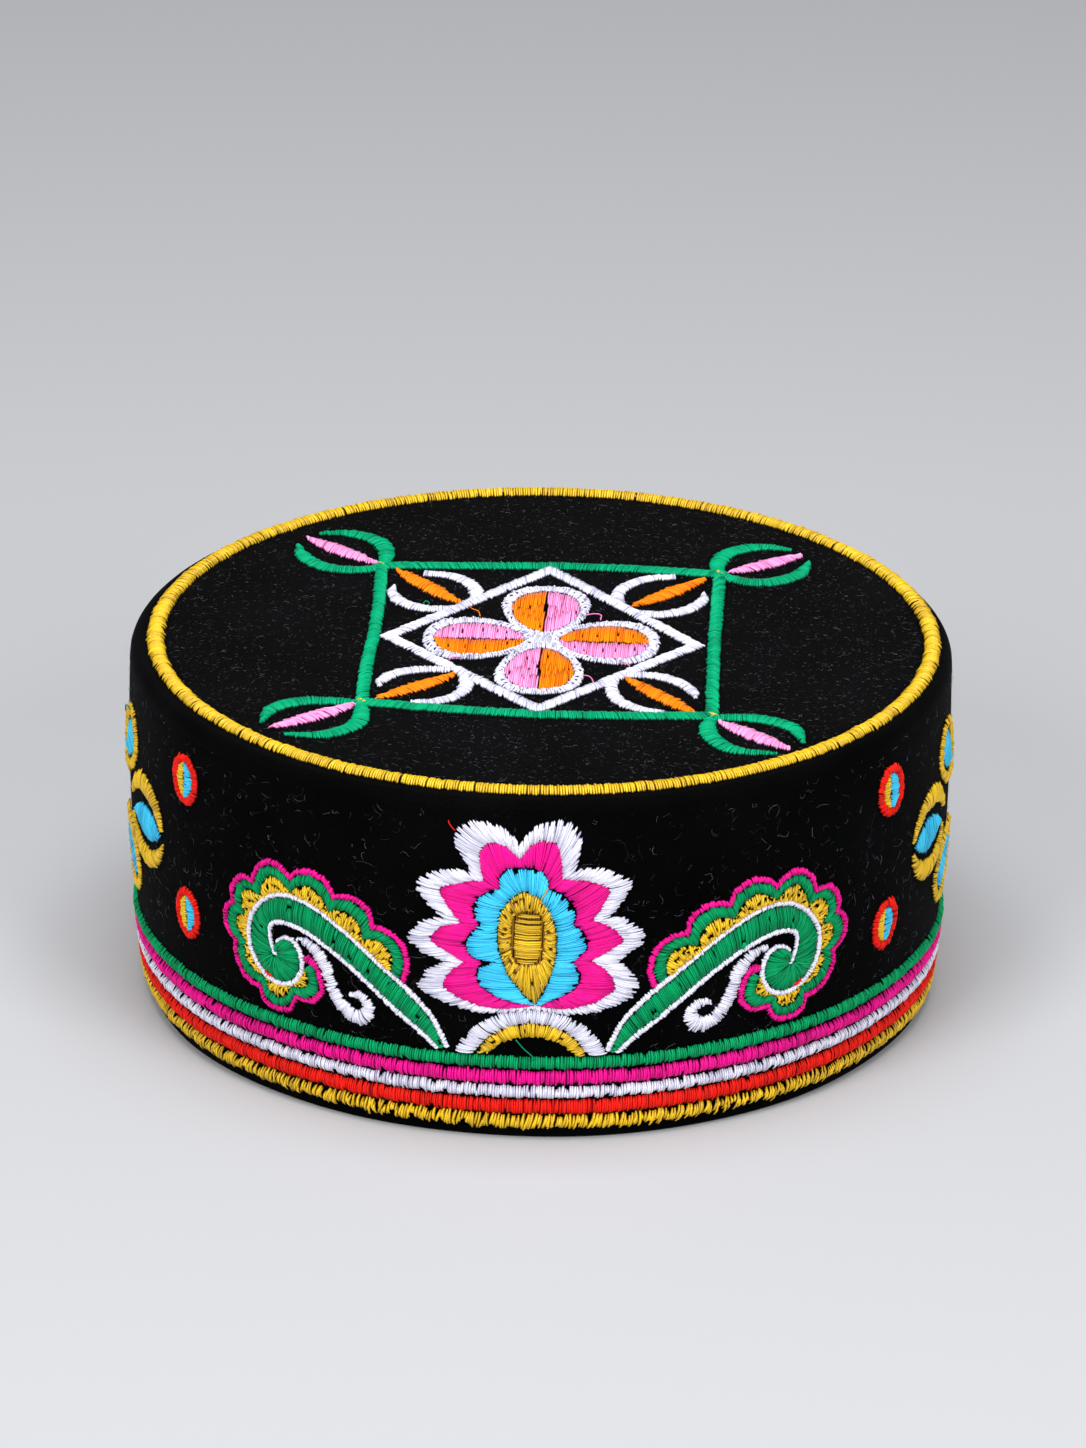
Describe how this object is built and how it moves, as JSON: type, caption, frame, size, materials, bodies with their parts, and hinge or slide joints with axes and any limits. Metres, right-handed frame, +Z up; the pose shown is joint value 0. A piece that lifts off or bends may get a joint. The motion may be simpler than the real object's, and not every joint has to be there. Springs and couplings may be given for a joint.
{
  "type": "topi cap",
  "caption": "Round stiff pillbox cap in black velvet, open below, with striped hem and floral satin-stitch embroidery on its band and flat crown.",
  "frame": {"origin": "middle of the circle that the hem stands on, at the hem's underside", "axes": "+Z up through the crown, -Y towards the front, where the lotus is, +X to the wearer's left"},
  "size_m": [0.1954, 0.1948, 0.0862],
  "materials": {
    "velvet": "matte cotton velvet, short pile",
    "thread_white": "glossy rayon embroidery thread",
    "thread_gold": "glossy rayon embroidery thread",
    "thread_red": "glossy rayon embroidery thread",
    "thread_magenta": "glossy rayon embroidery thread",
    "thread_green": "glossy rayon embroidery thread",
    "thread_jade": "glossy rayon embroidery thread",
    "thread_blue": "glossy rayon embroidery thread",
    "thread_orange": "glossy rayon embroidery thread",
    "thread_pink": "glossy rayon embroidery thread"
  },
  "bodies": {
    "root": {"crown_panel": "velvet", "side_band": "velvet", "crown_edge_ring": "thread_gold", "stripe_gold": "thread_gold", "stripe_red": "thread_red", "stripe_white": "thread_white", "stripe_magenta": "thread_magenta", "stripe_green": "thread_green", "lotus_white_front": "thread_white", "lotus_white_back": "thread_white", "lotus_pink_front": "thread_magenta", "lotus_pink_back": "thread_magenta", "lotus_blue_front": "thread_blue", "lotus_blue_back": "thread_blue", "lotus_seed_front": "thread_gold", "lotus_seed_back": "thread_gold", "arch_white_front": "thread_white", "arch_white_back": "thread_white", "arch_gold_front": "thread_gold", "arch_gold_back": "thread_gold", "scroll_horn_left_front": "thread_green", "scroll_horn_left_back": "thread_green", "scroll_horn_right_front": "thread_green", "scroll_horn_right_back": "thread_green", "scroll_border_left_front": "thread_magenta", "scroll_border_left_back": "thread_magenta", "scroll_border_right_front": "thread_magenta", "scroll_border_right_back": "thread_magenta", "scroll_fill_left_front": "thread_gold", "scroll_fill_left_back": "thread_gold", "scroll_fill_right_front": "thread_gold", "scroll_fill_right_back": "thread_gold", "scroll_tendril_left_front": "thread_white", "scroll_tendril_left_back": "thread_white", "scroll_tendril_right_front": "thread_white", "scroll_tendril_right_back": "thread_white", "oval_upper_left_front": "thread_red", "oval_upper_left_back": "thread_red", "oval_upper_right_front": "thread_red", "oval_upper_right_back": "thread_red", "oval_lower_left_front": "thread_red", "oval_lower_left_back": "thread_red", "oval_lower_right_front": "thread_red", "oval_lower_right_back": "thread_red", "side_flower_left": "thread_gold", "side_flower_right": "thread_gold", "crown_frame": "thread_jade", "crown_diamond": "thread_white", "flower_petal_up": "thread_pink", "flower_petal_down": "thread_pink", "flower_petal_left": "thread_orange", "flower_petal_right": "thread_orange", "inner_leaf_back_left": "thread_white", "inner_leaf_back_right": "thread_white", "inner_leaf_front_left": "thread_white", "inner_leaf_front_right": "thread_white", "outer_leaf_back_left": "thread_jade", "outer_leaf_back_right": "thread_jade", "outer_leaf_front_left": "thread_jade", "outer_leaf_front_right": "thread_jade"}
  },
  "joints": []
}
